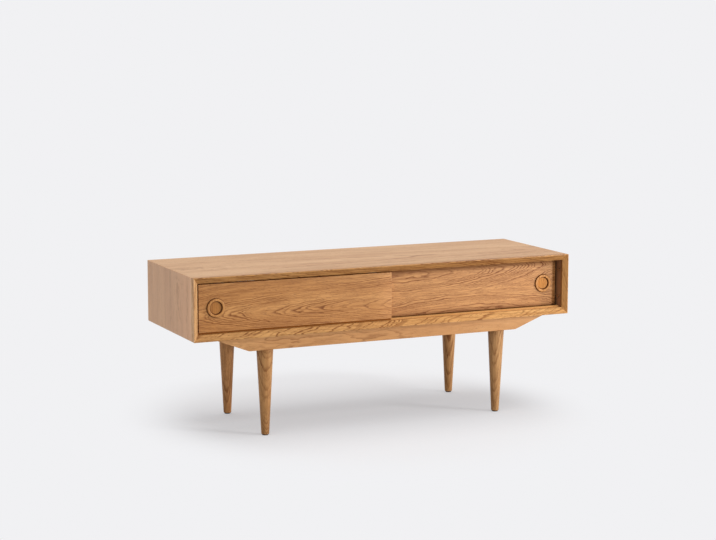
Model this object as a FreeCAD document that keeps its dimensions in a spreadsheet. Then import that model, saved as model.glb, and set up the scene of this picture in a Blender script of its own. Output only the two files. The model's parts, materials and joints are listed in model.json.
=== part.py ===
"""Low oak cabinet with two bypass sliding doors on a four-legged base.

Millimetres. X runs along the front, left to right, Y from the front to the back and Z up.
The origin lies on the floor, below the middle of the carcass.
"""
import FreeCAD
import Part
import Sketcher
import os
import re

# Driving sizes: the name of the cell, its value, and what it measures.
SIZES = (
    ("cabinet_width", 1200, "outer width of the carcass"),
    ("cabinet_depth", 400, "outer depth of the carcass"),
    ("carcass_height", 181, "outer height of the carcass"),
    ("panel_thickness", 18, "top and bottom panel"),
    ("side_thickness", 15, "left and right side panel"),
    ("corner_softening", 1, "flat worn on each outer mitre edge"),
    ("lipping_depth", 20, "solid edging in front of the panels, front to back"),
    ("bevel_depth", 12, "how far the bevel falls back from the front plane"),
    ("front_land", 2.5, "upright flat left in front of the bevel"),
    ("arris_radius", 0.8, "rounding of the edging's front corner"),
    ("spline_width", 12, "mitre spline, across the joint"),
    ("spline_thickness", 4, "mitre spline, along the joint"),
    ("spline_offset", 14, "spline centre from the outer corner, along the joint"),
    ("back_thickness", 8, "back panel"),
    ("back_recess", 1, "back panel in from the rear edge of the carcass"),
    ("back_rebate", 10, "depth of the rebate in each panel"),
    ("back_fit", 0.5, "gap round the back panel"),
    ("back_screw_inset", 24, "end screws from the inner faces of the sides"),
    ("back_screw_radius", 1.6, "shank of a back panel screw"),
    ("back_screw_head_radius", 3, "head of a back panel screw"),
    ("back_screw_head_height", 1.8, "head of a back panel screw"),
    ("back_screw_length", 20, "whole back panel screw"),
    ("cable_hole_radius", 30, "cable hole in the back of each bay"),
    ("cable_hole_offset", 292, "cable hole from the middle of the cabinet"),
    ("divider_thickness", 16, "upright panel between the two bays"),
    ("divider_edging", 8, "solid edging on the front of the divider"),
    ("divider_clearance", 4, "divider behind the back of the rear door"),
    ("dowel_radius", 4, "wooden dowels"),
    ("dowel_length", 30, "wooden dowels"),
    ("dowel_fit", 0.1, "gap round a dowel"),
    ("dowel_panel_depth", 10, "divider dowel inside the top or bottom panel"),
    ("dowel_inset", 60, "divider dowels from the front and back of the divider"),
    ("door_thickness", 16, "door panel"),
    ("door_setback", 20, "front door's face behind the front plane"),
    ("door_gap", 6.5, "gap between the two doors, front to back"),
    ("door_side_gap", 6, "shut door's edge to the side panel"),
    ("door_overlap", 32, "how far the shut doors lap over each other"),
    ("door_bottom_gap", 5, "door's lower edge above the bottom panel"),
    ("door_top_gap", 4, "door's upper edge below the top panel"),
    ("door_arris_radius", 0.8, "rounding of a door's front edges"),
    ("track_width", 8, "track channel, outside"),
    ("track_wall", 1.2, "wall of a track channel"),
    ("lower_track_height", 6, "lower track channel"),
    ("lower_track_rise", 4.4, "lower track channel above the bottom panel"),
    ("upper_track_height", 12, "upper track channel"),
    ("track_fit", 0.1, "gap round a track in its groove"),
    ("track_end_gap", 2, "track's end to the side panel"),
    ("runner_length", 40, "body of a runner or guide"),
    ("runner_width", 8, "body of a runner or guide"),
    ("runner_body_height", 10, "runner or guide inside the door"),
    ("runner_inset", 60, "runner's middle from the door's end"),
    ("runner_fit", 0.1, "gap round a runner in its mortise"),
    ("running_clearance", 0.3, "runner above the floor of its track"),
    ("tongue_width", 4.4, "tongue that runs in the track"),
    ("tongue_length", 30, "tongue that runs in the track"),
    ("guide_engagement", 6, "upper tongue inside the mouth of its track"),
    ("pull_radius", 26.5, "cup pull, outside"),
    ("dish_radius", 19, "cup pull, dish"),
    ("rim_height", 5, "pull's rim above the door's face"),
    ("rim_round", 2.4, "rounding of the rim, inside and outside"),
    ("dish_depth", 5.5, "dish below the top of the rim"),
    ("dish_round", 1.5, "hollow round the floor of the dish"),
    ("spigot_radius", 23, "pull's spigot in the door"),
    ("spigot_length", 8, "pull's spigot in the door"),
    ("pull_fit", 0.15, "glue gap round the spigot"),
    ("front_pull_inset", 51, "front pull's middle from its door's outer end"),
    ("rear_pull_inset", 44, "rear pull's middle from its door's outer end"),
    ("buffer_radius", 4, "door buffer"),
    ("buffer_thickness", 5.7, "door buffer"),
    ("buffer_spacing", 80, "the two buffers of one door, up and down"),
    ("leg_length", 247, "leg without its glide"),
    ("leg_top_radius", 24.2, "leg under the rail"),
    ("leg_foot_radius", 11.4, "leg at the foot"),
    ("leg_arris_radius", 1.5, "rounding of the leg's upper and lower edge"),
    ("leg_side_inset", 226, "leg's middle from the side of the cabinet"),
    ("leg_front_inset", 40, "front leg's middle from the front plane"),
    ("leg_rear_inset", 56, "rear leg's middle from the rear plane"),
    ("glide_thickness", 3, "glide under the foot"),
    ("glide_radius", 9, "glide under the foot"),
    ("glide_bevel", 0.8, "bevel round the glide's sole"),
    ("glide_pin_radius", 1.2, "nail of the glide"),
    ("glide_pin_length", 14, "nail of the glide"),
    ("pin_fit", 0.1, "gap round the glide's nail"),
    ("rail_height", 40, "long rail"),
    ("rail_width", 40, "long rail, front to back"),
    ("rail_end_inset", 67, "tip of the rail from the side of the cabinet"),
    ("rail_end_run", 104, "length of the rail's slanted end"),
    ("rail_arris_radius", 1, "rounding of the rail's lower edges"),
    ("cross_rail_width", 40, "cross rail, left to right"),
    ("cross_rail_height", 30, "cross rail"),
    ("cross_dowel_spacing", 20, "the two dowels in one end of a cross rail"),
    ("bolt_radius", 4, "hanger bolt"),
    ("bolt_fit", 0.1, "gap round a hanger bolt"),
    ("bolt_leg_length", 36, "hanger bolt inside the leg"),
    ("insert_radius", 6.5, "threaded insert, outside"),
    ("insert_length", 16, "threaded insert"),
    ("insert_fit", 0.1, "gap round a threaded insert"),
    ("screw_radius", 2.2, "shank of a base screw"),
    ("screw_fit", 0.2, "gap round a screw"),
    ("screw_head_radius", 4.4, "head of a base screw"),
    ("screw_head_height", 2.8, "head of a base screw"),
    ("screw_bite", 12, "base screw inside the bottom panel"),
    ("screw_tip", 3, "pointed end of a screw"),
    ("base_screw_inset", 74, "outer base screws from the leg's middle"),
)
BACK_SCREW_COLUMNS = 5
BASE_SCREW_COLUMNS = 4

# Sizes that follow from the driving ones.
DERIVED = (
    ("inner_width", "cabinet_width - 2 * side_thickness", "between the side panels"),
    ("inner_height", "carcass_height - 2 * panel_thickness", "between top and bottom panel"),
    ("board_depth", "cabinet_depth - lipping_depth", "panel behind its edging"),
    ("mitre_length", "sqrt(panel_thickness ^ 2 + side_thickness ^ 2)", "mitre, corner to corner"),
    ("rebate_width", "back_thickness + back_recess", "rebate, front to back"),
    ("spline_length", "board_depth - rebate_width", "mitre spline, front to back"),
    ("back_width", "inner_width + 2 * back_rebate - 2 * back_fit", "back panel"),
    ("back_height", "inner_height + 2 * back_rebate - 2 * back_fit", "back panel"),
    ("back_screw_span", "inner_width - 2 * back_screw_inset", "first to last back screw"),
    ("back_screw_rise", "inner_height + back_rebate", "lower to upper row of back screws"),
    ("front_y", "-cabinet_depth / 2", "front plane"),
    ("board_y", "front_y + lipping_depth", "front of the panels"),
    ("rebate_y", "cabinet_depth / 2 - rebate_width", "front of the back panel"),
    ("front_door_y", "front_y + door_setback", "face of the front door"),
    ("rear_door_y", "front_door_y + door_thickness + door_gap", "face of the rear door"),
    ("divider_y", "rear_door_y + door_thickness + divider_clearance", "front of the divider"),
    ("divider_depth", "rebate_y - divider_y - divider_edging", "divider behind its edging"),
    ("door_width", "(inner_width + door_overlap) / 2 - door_side_gap", "door panel"),
    ("door_height", "inner_height - door_bottom_gap - door_top_gap", "door panel"),
    ("door_offset", "(inner_width - door_width) / 2 - door_side_gap", "shut door's middle"),
    ("door_travel", "2 * door_offset", "how far each door slides"),
    ("track_length", "inner_width - 2 * track_end_gap", "track channel"),
    ("lower_groove_depth", "lower_track_height - lower_track_rise", "track inside the panel"),
    ("lower_tongue", "door_bottom_gap + lower_groove_depth - track_wall - running_clearance",
     "runner's tongue below the door"),
    ("upper_tongue", "door_top_gap + guide_engagement", "guide's tongue above the door"),
    ("leg_x", "cabinet_width / 2 - leg_side_inset", "leg's middle"),
    ("front_leg_y", "front_y + leg_front_inset", "front leg's middle"),
    ("rear_leg_y", "cabinet_depth / 2 - leg_rear_inset", "rear leg's middle"),
    ("leg_spread", "rear_leg_y - front_leg_y", "front leg to rear leg"),
    ("cross_rail_length", "leg_spread - rail_width", "between the long rails"),
    ("cross_dowel_z", "rail_height - cross_rail_height / 2", "dowels above the rail's underside"),
    ("rail_z", "glide_thickness + leg_length", "underside of the rails"),
    ("carcass_z", "rail_z + rail_height", "underside of the carcass"),
    ("floor_z", "carcass_z + panel_thickness", "upper face of the bottom panel"),
    ("lower_track_z", "floor_z + lower_track_rise", "upper edge of the lower tracks"),
    ("ceiling_z", "floor_z + inner_height", "lower face of the top panel"),
    ("top_z", "carcass_z + carcass_height", "upper face of the carcass"),
    ("door_z", "floor_z + door_bottom_gap", "lower edge of the doors"),
    ("base_screw_span", "2 * (leg_x - base_screw_inset)", "first to last base screw"),
    ("screw_length", "rail_height + screw_bite", "whole base screw"),
)

LEFT = -1
RIGHT = 1
ROOT_POINT = -1
START_POINT = 1
END_POINT = 2
CENTRE_POINT = 3

document = FreeCAD.newDocument("SlidingDoorCabinet")
sheet = document.addObject("Spreadsheet::Sheet", "Sizes")
for row, (name, content, note) in enumerate(SIZES + DERIVED, start=1):
    formula = content if isinstance(content, (int, float)) else "=" + content
    sheet.set("A%d" % row, note)
    sheet.set("B%d" % row, str(formula))
    sheet.setAlias("B%d" % row, name)
document.recompute()

ALIASES = {name for name, _, _ in SIZES + DERIVED}
bodies = []


# ---------------------------------------------------------------- expressions and sketches

def sized(expression):
    """Point every size named in an expression at its cell of the sheet."""
    def cell(word):
        return "Sizes." + word.group() if word.group() in ALIASES else word.group()
    return re.sub(r"[a-z_]+", cell, expression)


def bind(thing, path, expression):
    thing.setExpression(path, sized(expression))


def new_body(label, x="0", y="0", z="0", turn_axis=(0, 0, 1), turn_angle=0):
    """A body whose own frame is moved to x, y, z and turned about one axis."""
    body = document.addObject("PartDesign::Body", label)
    body.Label = label
    body.AllowCompound = True
    turn = FreeCAD.Rotation(FreeCAD.Vector(*turn_axis), turn_angle)
    body.Placement = FreeCAD.Placement(FreeCAD.Vector(), turn)
    bind(body, "Placement.Base.x", x)
    bind(body, "Placement.Base.y", y)
    bind(body, "Placement.Base.z", z)
    bodies.append(body)
    return body


def origin_feature(body, role):
    return [item for item in body.Origin.OriginFeatures if item.Role == role][0]


def new_sketch(body, name, role, offset="0"):
    """A sketch on one of the body's own origin planes, moved along the plane's normal."""
    sketch = body.newObject("Sketcher::SketchObject", body.Label + "_" + name)
    sketch.AttachmentSupport = (origin_feature(body, role), [""])
    sketch.MapMode = "FlatFace"
    bind(sketch, "AttachmentOffset.Base.z", offset)
    return sketch


def measure(sketch, expression):
    return float(sketch.evalExpression(sized(expression)))


def constrain(sketch, kind, *arguments, size):
    constraint = Sketcher.Constraint(kind, *arguments, measure(sketch, size))
    index = sketch.addConstraint(constraint)
    bind(sketch, "Constraints[%d]" % index, size)


def pin_point(sketch, geometry, point, across, up):
    constrain(sketch, "DistanceX", ROOT_POINT, START_POINT, geometry, point, size=across)
    constrain(sketch, "DistanceY", ROOT_POINT, START_POINT, geometry, point, size=up)


def add_polygon(sketch, corners):
    """A closed outline through corners given as pairs of expressions."""
    points = [FreeCAD.Vector(measure(sketch, across), measure(sketch, up), 0)
              for across, up in corners]
    first = sketch.GeometryCount
    for index, point in enumerate(points):
        following = points[(index + 1) % len(points)]
        sketch.addGeometry(Part.LineSegment(point, following), False)
    for index, (across, up) in enumerate(corners):
        next_line = first + (index + 1) % len(corners)
        joined = Sketcher.Constraint("Coincident", first + index, END_POINT, next_line, START_POINT)
        sketch.addConstraint(joined)
        pin_point(sketch, first + index, START_POINT, across, up)


def add_rectangle(sketch, left, right, low, high):
    add_polygon(sketch, ((left, low), (right, low), (right, high), (left, high)))


def add_centred_rectangle(sketch, across, up, width, height):
    add_rectangle(sketch, "%s - (%s) / 2" % (across, width), "%s + (%s) / 2" % (across, width),
                  "%s - (%s) / 2" % (up, height), "%s + (%s) / 2" % (up, height))


def add_circle(sketch, across, up, radius):
    centre = FreeCAD.Vector(measure(sketch, across), measure(sketch, up), 0)
    circle = Part.Circle(centre, FreeCAD.Vector(0, 0, 1), measure(sketch, radius))
    geometry = sketch.addGeometry(circle, False)
    pin_point(sketch, geometry, CENTRE_POINT, across, up)
    constrain(sketch, "Radius", geometry, size=radius)


# ---------------------------------------------------------------- features

def pad(body, sketch, length, backwards=False, both_ways=False):
    """Add material along the sketch's normal, against it, or half each way."""
    feature = body.newObject("PartDesign::Pad", sketch.Name + "_pad")
    feature.Profile = sketch
    feature.Reversed = backwards
    feature.Midplane = both_ways
    bind(feature, "Length", length)
    document.recompute()
    return feature


def pocket(body, sketch, length, with_normal=False, both_ways=False):
    """Cut against the sketch's normal, along it, or half each way, and prove that it cut."""
    before = body.Shape.Volume
    feature = body.newObject("PartDesign::Pocket", sketch.Name + "_pocket")
    feature.Profile = sketch
    feature.Reversed = with_normal
    feature.Midplane = both_ways
    bind(feature, "Length", length)
    document.recompute()
    if not body.Shape.Volume < before:
        raise ValueError(sketch.Name + " cuts nothing")
    return feature


def revolve(body, sketch):
    """Turn a half profile about the sketch's own upright axis."""
    feature = body.newObject("PartDesign::Revolution", sketch.Name + "_turn")
    feature.Profile = sketch
    feature.ReferenceAxis = (sketch, ["V_Axis"])
    feature.Angle = 360
    document.recompute()
    return feature


def round_edges(body, name, radius, wanted):
    """Round the edges of the body's tip for which wanted(edge) holds."""
    base = body.Tip
    edges = ["Edge%d" % number
             for number, edge in enumerate(base.Shape.Edges, start=1) if wanted(edge)]
    if not edges:
        raise ValueError(body.Label + " has no edge to round for " + name)
    feature = body.newObject("PartDesign::Fillet", body.Label + "_" + name)
    feature.Base = (base, edges)
    bind(feature, "Radius", radius)
    document.recompute()
    return feature


def repeat(body, feature, *directions):
    """Copy a feature along origin axes; each direction is (axis role, span, count)."""
    many = body.newObject("PartDesign::MultiTransform", body.Label + "_copies")
    steps = []
    for role, span, count in directions:
        step = document.addObject("PartDesign::LinearPattern", body.Label + "_" + role + "_row")
        body.addObject(step)
        step.Direction = (origin_feature(body, role), [""])
        step.Occurrences = count
        bind(step, "Length", span)
        steps.append(step)
    many.Originals = [feature]
    many.Transformations = steps
    body.Tip = many
    document.recompute()
    return many


def lies_at(value, target):
    return abs(value - target) < 1e-4


def edge_on(y=None, z=None):
    """A test for edges that lie wholly at the given local y and z."""
    def test(edge):
        box = edge.BoundBox
        on_y = y is None or (lies_at(box.YMin, y) and lies_at(box.YMax, y))
        on_z = z is None or (lies_at(box.ZMin, z) and lies_at(box.ZMax, z))
        return on_y and on_z
    return test


def size_of(name):
    return float(sheet.get(name))


# ---------------------------------------------------------------- carcass

def mitred_outline(length, thickness, neighbour):
    """Outline of a board with its outer face on z = 0, mitred to its neighbours."""
    slope = "(%s + %s)" % (thickness, neighbour)
    left_half = (
        ("-(%s) / 2 + %s" % (length, neighbour), "-" + thickness),
        ("-(%s) / 2 + corner_softening * %s / %s" % (length, neighbour, slope),
         "-corner_softening * %s / %s" % (thickness, slope)),
        ("-(%s) / 2 + corner_softening" % length, "0"),
    )
    right_half = tuple(("-(%s)" % across, up) for across, up in reversed(left_half))
    return left_half + right_half


def spline_section(corner_x, inward_x, corner_z, inward_z, thickness, neighbour):
    """Section of the spline across one mitre, whose outer corner and inward ways are given."""
    section = []
    for across, along in ((-1, -1), (1, -1), (1, 1), (-1, 1)):
        inwards = ("(spline_offset * {n} + {i} * spline_width / 2 * {t}"
                   " + {j} * spline_thickness / 2 * {n}) / mitre_length")
        depth = ("(spline_offset * {t} - {i} * spline_width / 2 * {n}"
                 " + {j} * spline_thickness / 2 * {t}) / mitre_length")
        words = {"t": thickness, "n": neighbour, "i": across, "j": along}
        section.append(("%s + %d * %s" % (corner_x, inward_x, inwards.format(**words)),
                        "%s + %d * %s" % (corner_z, inward_z, depth.format(**words))))
    return section


def carcass_board(label, length, thickness, neighbour, x, z, turn):
    """One of the four panels, with its mitres, spline slots and rebate for the back."""
    body = new_body(label, x, "board_y", z, (0, 1, 0), turn)
    outline = new_sketch(body, "outline", "XZ_Plane")
    add_polygon(outline, mitred_outline(length, thickness, neighbour))
    pad(body, outline, "board_depth", backwards=True)
    slots = new_sketch(body, "spline_slots", "XZ_Plane")
    for end in (LEFT, RIGHT):
        corner = "%d * (%s) / 2" % (end, length)
        add_polygon(slots, spline_section(corner, -end, "0", -1, thickness, neighbour))
    pocket(body, slots, "spline_length")
    rebate = new_sketch(body, "rebate", "YZ_Plane")
    add_rectangle(rebate, "board_depth - rebate_width", "board_depth",
                  "-" + thickness, "-%s + back_rebate" % thickness)
    pocket(body, rebate, length, both_ways=True)
    return body


def cut_track_grooves(body, height):
    """Stopped grooves in the inner face for the front and the rear door's track."""
    grooves = new_sketch(body, "track_grooves", "XY_Plane", "-panel_thickness")
    for door_y in ("front_door_y", "rear_door_y"):
        add_centred_rectangle(grooves, "0", "%s + door_thickness / 2 - board_y" % door_y,
                              "track_length + 2 * track_fit", "track_width + 2 * track_fit")
    pocket(body, grooves, height, with_normal=True)


def cut_divider_dowel_holes(body):
    holes = new_sketch(body, "divider_dowel_holes", "XY_Plane", "-panel_thickness")
    for y in ("divider_y + dowel_inset", "rebate_y - dowel_inset"):
        add_circle(holes, "0", "%s - board_y" % y, "dowel_radius + dowel_fit")
    pocket(body, holes, "dowel_panel_depth + dowel_fit", with_normal=True)


def cut_back_screw_holes(body):
    """A row of blind holes in the shoulder of the rebate."""
    holes = new_sketch(body, "back_screw_holes", "XZ_Plane", "-(board_depth - rebate_width)")
    for column in range(BACK_SCREW_COLUMNS):
        across = "back_screw_span * %s" % (column / (BACK_SCREW_COLUMNS - 1) - 0.5)
        add_circle(holes, across, "-panel_thickness + back_rebate / 2",
                   "back_screw_radius + screw_fit")
    pocket(body, holes, "back_screw_length - back_thickness + screw_fit", with_normal=True)


def cut_base_screw_holes(body):
    holes = new_sketch(body, "base_screw_holes", "XY_Plane")
    for column in range(BASE_SCREW_COLUMNS):
        across = "base_screw_span * %s" % (column / (BASE_SCREW_COLUMNS - 1) - 0.5)
        for leg_y in ("front_leg_y", "rear_leg_y"):
            add_circle(holes, across, "%s - board_y" % leg_y, "screw_radius + screw_fit")
    pocket(body, holes, "screw_bite + screw_fit")


def front_edging(label, length, thickness, neighbour, land, x, z, turn):
    """Solid strip in front of a panel; its bevel falls back from the outer arris."""
    body = new_body(label, x, "front_y", z, (0, 1, 0), turn)
    outline = new_sketch(body, "outline", "XZ_Plane")
    add_polygon(outline, mitred_outline(length, thickness, neighbour))
    pad(body, outline, "lipping_depth", backwards=True)
    bevel = new_sketch(body, "bevel", "YZ_Plane")
    add_polygon(bevel, (("0", "-(%s)" % land), ("bevel_depth", "-" + thickness),
                        ("0", "-" + thickness)))
    pocket(body, bevel, length, both_ways=True)
    round_edges(body, "arris", "arris_radius", edge_on(y=0, z=0))


def make_carcass():
    side_land = "front_land * side_thickness / panel_thickness"
    top = carcass_board("top_panel", "cabinet_width", "panel_thickness", "side_thickness",
                        "0", "top_z", 0)
    bottom = carcass_board("bottom_panel", "cabinet_width", "panel_thickness",
                           "side_thickness", "0", "carcass_z", 180)
    cut_track_grooves(top, "upper_track_height")
    cut_track_grooves(bottom, "lower_groove_depth")
    cut_base_screw_holes(bottom)
    for panel in (top, bottom):
        cut_divider_dowel_holes(panel)
        cut_back_screw_holes(panel)
    front_edging("top_front_edging", "cabinet_width", "panel_thickness", "side_thickness",
                 "front_land", "0", "top_z", 0)
    front_edging("bottom_front_edging", "cabinet_width", "panel_thickness",
                 "side_thickness", "front_land", "0", "carcass_z", 180)
    for side, word in ((LEFT, "left"), (RIGHT, "right")):
        x = "%d * cabinet_width / 2" % side
        z = "carcass_z + carcass_height / 2"
        carcass_board(word + "_side_panel", "carcass_height", "side_thickness",
                      "panel_thickness", x, z, 90 * side)
        front_edging(word + "_front_edging", "carcass_height", "side_thickness",
                     "panel_thickness", side_land, x, z, 90 * side)


def make_corner_splines():
    """Four strips across the mitres, from the edging to the back panel."""
    body = new_body("corner_splines", "0", "board_y", "carcass_z")
    sections = new_sketch(body, "sections", "XZ_Plane")
    for end in (LEFT, RIGHT):
        corner = "%d * cabinet_width / 2" % end
        add_polygon(sections, spline_section(corner, -end, "0", 1,
                                             "panel_thickness", "side_thickness"))
        add_polygon(sections, spline_section(corner, -end, "carcass_height", -1,
                                             "panel_thickness", "side_thickness"))
    pad(body, sections, "spline_length", backwards=True)


def make_back_panel():
    body = new_body("back_panel", "0", "rebate_y", "floor_z + inner_height / 2")
    outline = new_sketch(body, "outline", "XZ_Plane")
    add_centred_rectangle(outline, "0", "0", "back_width", "back_height")
    pad(body, outline, "back_thickness", backwards=True)
    cable_holes = new_sketch(body, "cable_holes", "XZ_Plane")
    for side in (LEFT, RIGHT):
        add_circle(cable_holes, "%d * cable_hole_offset" % side, "0", "cable_hole_radius")
    pocket(body, cable_holes, "back_thickness")
    shanks = new_sketch(body, "screw_holes", "XZ_Plane")
    heads = new_sketch(body, "screw_heads", "XZ_Plane", "-back_thickness")
    for column in range(BACK_SCREW_COLUMNS):
        across = "back_screw_span * %s" % (column / (BACK_SCREW_COLUMNS - 1) - 0.5)
        for level in (-0.5, 0.5):
            up = "back_screw_rise * %s" % level
            add_circle(shanks, across, up, "back_screw_radius + screw_fit")
            add_circle(heads, across, up, "back_screw_head_radius + screw_fit")
    pocket(body, shanks, "back_thickness")
    pocket(body, heads, "back_screw_head_height", with_normal=True)


def make_divider():
    """Upright panel between the bays, its front edging and its dowels."""
    panel = new_body("centre_divider", "0", "divider_y + divider_edging", "floor_z")
    outline = new_sketch(panel, "outline", "XY_Plane")
    add_rectangle(outline, "-divider_thickness / 2", "divider_thickness / 2",
                  "0", "divider_depth")
    pad(panel, outline, "inner_height")
    dowel_ys = ("dowel_inset - divider_edging", "divider_depth - dowel_inset")
    hole_depth = "dowel_length - dowel_panel_depth + dowel_fit"
    for name, level, upwards in (("lower_holes", "0", True), ("upper_holes", "inner_height", False)):
        holes = new_sketch(panel, name, "XY_Plane", level)
        for y in dowel_ys:
            add_circle(holes, "0", y, "dowel_radius + dowel_fit")
        pocket(panel, holes, hole_depth, with_normal=upwards)

    edging = new_body("divider_edging", "0", "divider_y", "floor_z")
    strip = new_sketch(edging, "outline", "XY_Plane")
    add_rectangle(strip, "-divider_thickness / 2", "divider_thickness / 2",
                  "0", "divider_edging")
    pad(edging, strip, "inner_height")
    round_edges(edging, "arris", "arris_radius",
                lambda edge: edge_on(y=0)(edge) and edge.BoundBox.ZLength > 1)

    dowels = new_body("divider_dowels", "0", "divider_y + divider_edging",
                      "floor_z - dowel_panel_depth")
    ends = new_sketch(dowels, "ends", "XY_Plane")
    for y in dowel_ys:
        add_circle(ends, "0", y, "dowel_radius")
    lower_pair = pad(dowels, ends, "dowel_length")
    repeat(dowels, lower_pair,
           ("Z_Axis", "inner_height - dowel_length + 2 * dowel_panel_depth", 2))


def screw(label, x, y, z, axis_plane, points):
    """A turned screw from its half profile, head first."""
    body = new_body(label, x, y, z)
    profile = new_sketch(body, "profile", axis_plane)
    add_polygon(profile, points)
    return body, revolve(body, profile)


def make_back_screws():
    points = (("0", "0"), ("back_screw_head_radius", "0"),
              ("back_screw_radius", "-back_screw_head_height"),
              ("back_screw_radius", "-back_screw_length + screw_tip"),
              ("0", "-back_screw_length"))
    body, first = screw("back_panel_screws", "-back_screw_span / 2",
                        "rebate_y + back_thickness",
                        "floor_z + inner_height / 2 - back_screw_rise / 2", "XY_Plane", points)
    repeat(body, first, ("X_Axis", "back_screw_span", BACK_SCREW_COLUMNS),
           ("Z_Axis", "back_screw_rise", 2))


# ---------------------------------------------------------------- tracks, doors and pulls

def make_track(label, door_y, z, height, turn):
    """A channel let into the panel, its mouth flush with the panel's inner face."""
    body = new_body(label, "0", "%s + door_thickness / 2" % door_y, z, (1, 0, 0), turn)
    section = new_sketch(body, "section", "YZ_Plane")
    outer = "track_width / 2"
    inner = "(track_width / 2 - track_wall)"
    floor = "(-%s + track_wall)" % height
    add_polygon(section, (("-" + outer, "0"), ("-" + outer, "-" + height),
                          (outer, "-" + height), (outer, "0"), (inner, "0"),
                          (inner, floor), ("-" + inner, floor), ("-" + inner, "0")))
    pad(body, section, "track_length", both_ways=True)


def make_tracks():
    for word, door_y in (("front", "front_door_y"), ("rear", "rear_door_y")):
        make_track("lower_%s_track" % word, door_y, "lower_track_z", "lower_track_height", 0)
        make_track("upper_%s_track" % word, door_y, "ceiling_z", "upper_track_height", 180)


def slider_rows(sketch, length, width, y):
    """Two rectangles, one near each end of the door."""
    for end in (LEFT, RIGHT):
        across = "%d * (door_width / 2 - runner_inset)" % end
        add_centred_rectangle(sketch, across, y, length, width)


def make_door_panel(label, x, y, pull_x):
    body = new_body(label, x, y, "door_z")
    outline = new_sketch(body, "outline", "XZ_Plane")
    add_rectangle(outline, "-door_width / 2", "door_width / 2", "0", "door_height")
    pad(body, outline, "door_thickness", backwards=True)
    round_edges(body, "arris", "door_arris_radius", edge_on(y=0))
    recess = new_sketch(body, "pull_recess", "XZ_Plane")
    add_circle(recess, pull_x, "door_height / 2", "spigot_radius + pull_fit")
    pocket(body, recess, "spigot_length + pull_fit")
    for name, level, upwards in (("runner_mortises", "0", True),
                                 ("guide_mortises", "door_height", False)):
        mortises = new_sketch(body, name, "XY_Plane", level)
        slider_rows(mortises, "runner_length + 2 * runner_fit",
                    "runner_width + 2 * runner_fit", "door_thickness / 2")
        pocket(body, mortises, "runner_body_height", with_normal=upwards)


def make_sliders(label, x, y, z, tongue, turn):
    """Two blocks let into the door's edge, each with a tongue that runs in the track."""
    body = new_body(label, x, "%s + door_thickness / 2" % y, z, (1, 0, 0), turn)
    blocks = new_sketch(body, "blocks", "XY_Plane")
    slider_rows(blocks, "runner_length", "runner_width", "0")
    pad(body, blocks, "runner_body_height")
    tongues = new_sketch(body, "tongues", "XY_Plane")
    slider_rows(tongues, "tongue_length", "tongue_width", "0")
    pad(body, tongues, tongue, backwards=True)
    round_edges(body, "tongue_ends", "tongue_width * 0.45",
                lambda edge: lies_at(edge.BoundBox.ZMax, 0) and edge.BoundBox.ZLength > 1)


def make_pull(label, x, y):
    """Turned cup pull: a rounded rim on the door's face round a dish sunk into the door."""
    body = new_body(label, x, y, "door_z + door_height / 2")
    profile = new_sketch(body, "profile", "XY_Plane")
    dish_floor = "(dish_depth - rim_height)"
    add_polygon(profile, (("0", dish_floor), ("dish_radius", dish_floor),
                          ("dish_radius", "-rim_height"), ("pull_radius", "-rim_height"),
                          ("pull_radius", "0"), ("spigot_radius", "0"),
                          ("spigot_radius", "spigot_length"), ("0", "spigot_length")))
    revolve(body, profile)
    dish_floor_y = size_of("dish_depth") - size_of("rim_height")
    round_edges(body, "rim", "rim_round", edge_on(y=-size_of("rim_height")))
    round_edges(body, "dish", "dish_round", edge_on(y=dish_floor_y))


def make_doors():
    for word, side in (("front", LEFT), ("rear", RIGHT)):
        name = word + "_door_"
        x = "%d * door_offset" % side
        y = word + "_door_y"
        pull_x = "%d * (door_width / 2 - %s_pull_inset)" % (side, word)
        make_door_panel(name + "panel", x, y, pull_x)
        make_pull(name + "pull", "%s + %s" % (x, pull_x), y)
        make_sliders(name + "runners", x, y, "door_z", "lower_tongue", 0)
        make_sliders(name + "guides", x, y, "door_z + door_height", "upper_tongue", 180)


def make_buffers():
    """Soft discs on the inner faces of the sides, two for each door."""
    for side, word in ((LEFT, "left"), (RIGHT, "right")):
        turn = 0 if side == LEFT else 180
        body = new_body(word + "_door_buffers", "%d * inner_width / 2" % side,
                        "(front_door_y + rear_door_y + door_thickness) / 2",
                        "door_z + door_height / 2", (0, 0, 1), turn)
        discs = new_sketch(body, "discs", "YZ_Plane")
        for line in (-0.5, 0.5):
            for level in (-0.5, 0.5):
                add_circle(discs, "%s * (rear_door_y - front_door_y)" % line,
                           "%s * buffer_spacing" % level, "buffer_radius")
        pad(body, discs, "buffer_thickness")


# ---------------------------------------------------------------- base

def cross_dowel_circles(sketch, up, radius):
    """The four dowels that meet one long rail."""
    for side in (LEFT, RIGHT):
        for place in (-0.5, 0.5):
            across = "%d * leg_x + %s * cross_dowel_spacing" % (side, place)
            add_circle(sketch, across, up, radius)


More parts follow.
